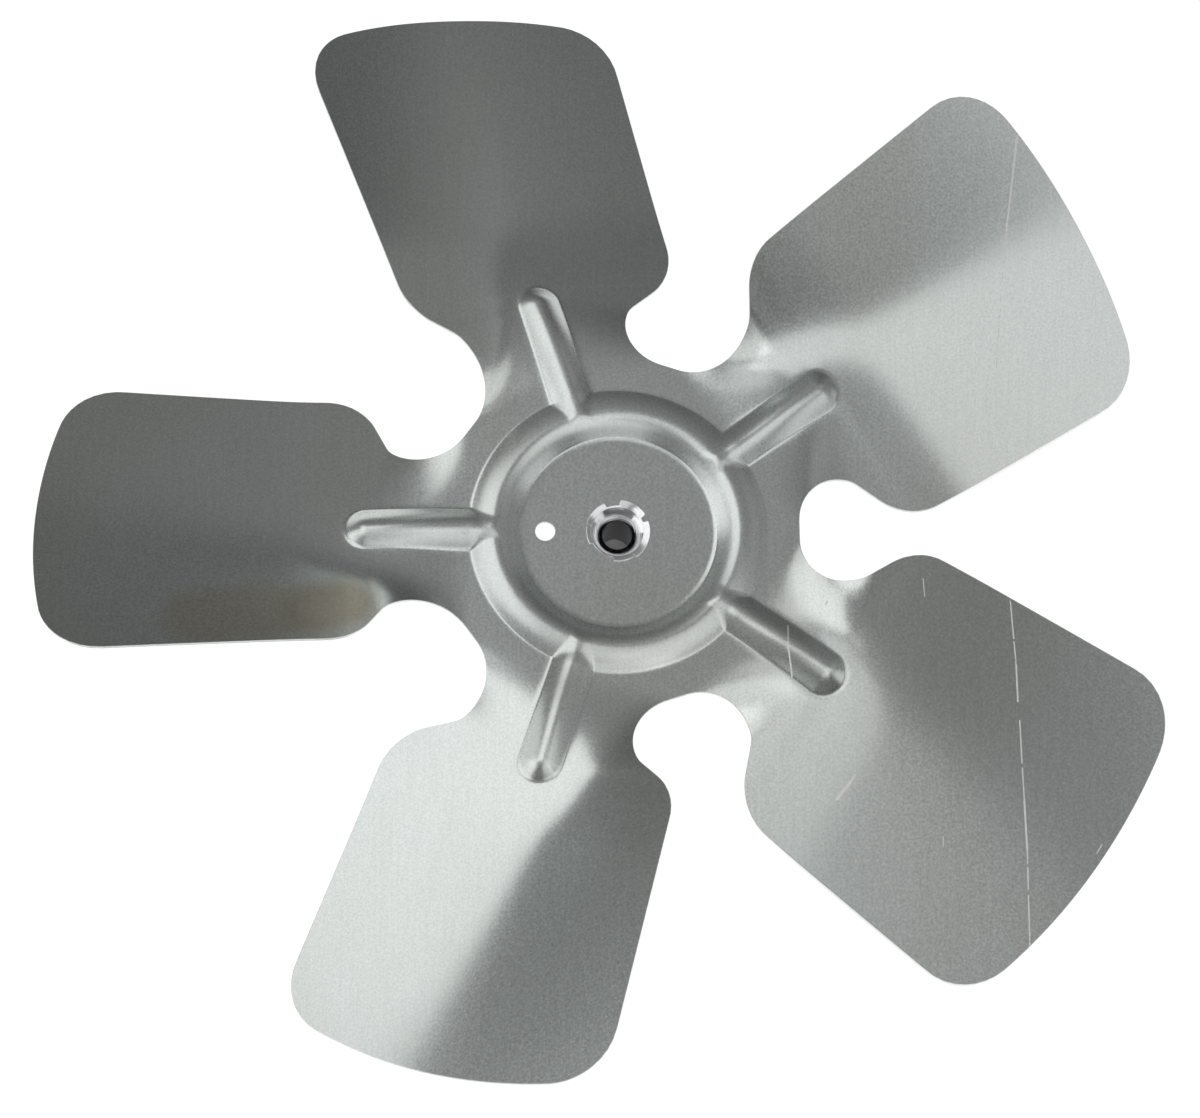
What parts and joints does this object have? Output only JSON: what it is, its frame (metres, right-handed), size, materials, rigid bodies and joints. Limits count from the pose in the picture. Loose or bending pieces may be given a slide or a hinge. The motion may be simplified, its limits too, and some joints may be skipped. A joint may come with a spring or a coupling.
{
  "type": "axial fan impeller",
  "caption": "Stamped aluminium axial fan impeller with pitched paddle blades, a raised stiffening ring with radial ribs, and a staked hub bored for a motor shaft.",
  "frame": {"origin": "on the shaft axis inside the hub's bore, 6 mm behind the middle of the flat sheet round the ring", "axes": "+Z along the shaft towards the face that carries the countersink, +X through the gap opposite the locating hole, right-handed"},
  "size_m": [0.2927, 0.3016, 0.0467],
  "materials": {
    "sheet_aluminium": "satin",
    "hub_aluminium": "bright turned",
    "screw_steel": "satin"
  },
  "bodies": {
    "root": {"impeller_sheet": "sheet_aluminium", "hub": "hub_aluminium", "set_screw": "screw_steel"}
  },
  "joints": []
}
